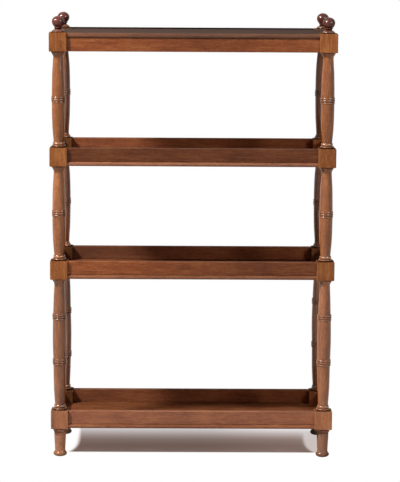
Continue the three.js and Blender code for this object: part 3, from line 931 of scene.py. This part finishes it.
def spindle_outline(length, shafts, rings):
    """The outline of a spindle of a length, from shafts between its rings, all in millimetres. The flare's
    heights are measured down from the spindle's upper end."""
    outline = foot_pin(PIN_LENGTH / MM, PIN_RADIUS / MM)
    # The groove at the seat and the one under the head are painted dark, as the shade between the turning
    # and its blocks. The torus is darkened a little with old polish and painted shade, and it and the bead
    # are rubbed lighter, partly as a painted highlight.
    outline += cornered(FOOT_GROOVE, grime_and_shade=1.0)
    outline += flowing(TORUS, TORUS_WEAR_AND_HIGHLIGHT, TORUS_GRIME_AND_SHADE)
    outline += bead(*FOOT_BEAD, wear_and_highlight=1.0)
    outline += flowing(shafts[0])
    for ring, shaft in zip(rings, shafts[1:]):
        outline += ring_of_beads(ring)
        outline += flowing(shaft)
    outline += flowing([(length - below, radius) for below, radius in FLARE])
    outline += cornered([(length - below, HEAD_GROOVE_RADIUS) for below in (HEAD_GROOVE, SEAT)], grime_and_shade=1.0)
    outline += head_pin(length)
    return outline


SHORT_RINGS = [150.0]
SHORT_SHAFTS = [
    [(16.8, 16.1), (24.0, 16.4), (40.0, 17.8), (62.0, 19.5), (100.0, 20.7), (139.8, 21.0)],
    [(160.2, 21.0), (200.0, 20.3), (235.0, 19.2), (258.0, 17.6), (282.0, 16.3)],
]
LONG_RINGS = [156.4, 302.6]
LONG_SHAFTS = [
    [(16.8, 16.1), (25.0, 16.4), (44.0, 17.6), (84.0, 19.4), (146.2, 20.2)],
    [(166.6, 20.6), (228.0, 21.9), (292.4, 21.0)],
    [(312.8, 20.0), (355.0, 18.6), (388.0, 17.1), (407.0, 16.3)],
]
# The long spindle at the back on the left was turned with its two rings lower down.
LOW_RINGS = [121.4, 267.6]
LOW_RINGED_SHAFTS = [
    [(16.8, 16.1), (36.0, 17.1), (69.0, 18.6), (111.2, 20.0)],
    [(131.6, 21.0), (196.0, 21.9), (257.4, 20.6)],
    [(277.8, 20.2), (340.0, 19.4), (380.0, 17.6), (407.0, 16.3)],
]
STOREYS = {"lower": ("lower_tray", "middle_tray"), "middle": ("middle_tray", "upper_tray"),
           "upper": ("upper_tray", "top")}
SPINDLE_STAINS = {"upper": (0.79, 0.86), "middle": (0.93, 0.85), "lower": (0.78, 0.99)}
# The spindles' pale veil is partly a painted reflection and light bounced from the floor, most on the
# lowest storey.
SPINDLE_BLOOMS_AND_REFLECTIONS = {"upper": (0.01, 0.0), "middle": (0.05, 0.0), "lower": (0.12, 0.0)}
TURNED_COLOURS = (polish(104, 54, 26), polish(148, 86, 45), polish(182, 118, 70))
turned_wood = mahogany(
    "turned_mahogany", "Z", *TURNED_COLOURS, roughness=0.3, coat=0.62, coat_roughness=0.17)
for storey, (lower_tier, upper_tier) in STOREYS.items():
    for corner, (_, side_y) in CORNERS.items():
        node = f"{storey}_{corner}_spindle"
        block = f"{lower_tier}_{corner}_block"
        foot_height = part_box(block)[1].z
        head_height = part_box(f"{upper_tier}_{corner}_block")[0].z
        length = (head_height - foot_height) / MM
        if node == "lower_back_left_spindle":
            outline = spindle_outline(length, LOW_RINGED_SHAFTS, LOW_RINGS)
        elif storey == "lower":
            outline = spindle_outline(length, LONG_SHAFTS, LONG_RINGS)
        else:
            outline = spindle_outline(length, SHORT_SHAFTS, SHORT_RINGS)
        # The short spindles at the back were fitted the other way up.
        if storey != "lower" and side_y > 0:
            outline = [(radius, length - up, wear_and_highlight, grime_and_shade) for radius, up, wear_and_highlight, grime_and_shade in outline[::-1]]
        turn_piece(node, outline, block, foot_height, turned_wood, SPINDLE_STAINS[storey],
                   SPINDLE_BLOOMS_AND_REFLECTIONS[storey])

# The four feet are turned with a beaded collar under the block, a tapering shaft and a rounded toe
# with a flat sole. A pin above the collar sits in the block's bore.
SOLE = [(0.0, 0.0), (0.0, 15.4), (0.5, 16.2)]
TOE = [(1.2, 17.6), (3.0, 20.2), (6.0, 21.5), (9.5, 21.2), (13.0, 19.0)]
TOE_WEAR_AND_HIGHLIGHT = 0.7
TOE_GRIME_AND_SHADE = 0.56
FOOT_SHAFT = [(16.0, 17.2), (20.0, 16.5), (40.0, 17.4), (62.0, 18.5), (78.6, 18.9)]
SHAFT_GROOVE = [(78.8, 18.9), (80.6, 18.9)]
SMALL_BEAD = (80.7, 83.6, 20.2, 21.2)
COLLAR_BOTTOM = 84.2
COLLAR_ROOT = 20.4
COLLAR_CROWN = 22.0
COLLAR_GROOVE = 1.8
COLLAR_GROOVE_RADIUS = 19.8
# The back feet are painted darker as the shade under the lower tray, and the front left one is lighter than
# the front right.
FOOT_STAINS_AND_PAINTED_SHADE = {"front_left": 1.4, "front_right": 0.86, "back_left": 0.3, "back_right": 0.42}
# The feet's pale veil is partly painted light bounced from the floor.
FOOT_BLOOM_AND_REFLECTION = (0.35, 0.0)
foot_wood = mahogany("foot_mahogany", "Z", *TURNED_COLOURS, roughness=0.36, coat=0.14, coat_roughness=0.1)
for corner in CORNERS:
    block = f"lower_tray_{corner}_block"
    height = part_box(block)[0].z / MM
    collar_top = height - COLLAR_GROOVE
    outline = cornered(SOLE)
    # The toe is darkened with old polish and painted shade and rubbed lighter, partly as a painted
    # highlight. The grooves are painted dark as shade.
    outline += flowing(TOE, TOE_WEAR_AND_HIGHLIGHT, TOE_GRIME_AND_SHADE)
    outline += flowing(FOOT_SHAFT)
    outline += cornered(SHAFT_GROOVE, grime_and_shade=1.0)
    outline += bead(*SMALL_BEAD)
    outline += bead(COLLAR_BOTTOM, collar_top, COLLAR_ROOT, COLLAR_CROWN)
    outline += cornered([(up, COLLAR_GROOVE_RADIUS) for up in (collar_top, height - SEAT)], grime_and_shade=1.0)
    outline += head_pin(height)
    shade = FOOT_STAINS_AND_PAINTED_SHADE[corner]
    turn_piece(f"{corner}_foot", outline, block, 0.0, foot_wood, (shade, shade), FOOT_BLOOM_AND_REFLECTION)

# The four finials are turned balls of darker, redder wood on a spreading base and a narrow neck, each
# with a pin that sits in the top block.
FINIAL_GROOVE = [(SEAT, 18.6), (1.0, 18.6)]
FINIAL_BASE = [(1.0, 19.3), (2.4, 20.0), (4.2, 19.4), (6.2, 17.2), (8.0, 14.4), (9.2, 12.8)]
FINIAL_BASE_WEAR_AND_HIGHLIGHT = 0.35
BASE_QUIRK = [(9.4, 10.4), (13.8, 10.2)]
NECK_BEAD = (13.9, 16.2, 12.0, 13.8)
NECK = [(16.3, 11.4), (17.0, 11.4)]
BALL_FOOT = 17.2
BALL_MIDDLE = 33.0
BALL_RADIUS = 19.6
BALL_DEPTH = 20.0
BALL_STEPS = 16
FINIAL_STAINS = (1.12, 0.98)
# The finials' pale veil is partly a painted reflection.
FINIAL_BLOOM_AND_REFLECTION = (0.04, 0.05)
finial_wood = mahogany(
    "finial_mahogany", "Z", polish(34, 9, 8), polish(80, 32, 22), polish(117, 57, 39),
    roughness=0.26, coat=0.42, coat_roughness=0.05)


def ball(height):
    """The ball of a finial from its neck to its crown at a height, a little flatter above than below."""
    outline = []
    lowest = math.asin((BALL_FOOT - BALL_MIDDLE) / BALL_DEPTH)
    for step in range(BALL_STEPS + 1):
        turn = lowest + (QUARTER_TURN - lowest) * step / BALL_STEPS
        reach = BALL_DEPTH if turn < 0 else height - BALL_MIDDLE
        outline.append((BALL_RADIUS * math.cos(turn), BALL_MIDDLE + reach * math.sin(turn), 0.0, 0.0))
    return outline


for corner in CORNERS:
    node = f"{corner}_finial"
    block = f"top_{corner}_block"
    foot_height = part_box(block)[1].z
    outline = foot_pin(FINIAL_PIN_LENGTH / MM, FINIAL_PIN_RADIUS / MM)
    # The grooves are painted dark as shade, and the base is rubbed lighter, partly as a painted highlight.
    outline += cornered(FINIAL_GROOVE, grime_and_shade=1.0)
    outline += flowing(FINIAL_BASE, FINIAL_BASE_WEAR_AND_HIGHLIGHT)
    outline += cornered(BASE_QUIRK, grime_and_shade=1.0)
    outline += bead(*NECK_BEAD)
    outline += cornered(NECK, grime_and_shade=1.0)
    outline += ball((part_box(node)[1].z - foot_height) / MM)
    turn_piece(node, outline, block, foot_height, finial_wood, FINIAL_STAINS, FINIAL_BLOOM_AND_REFLECTION)
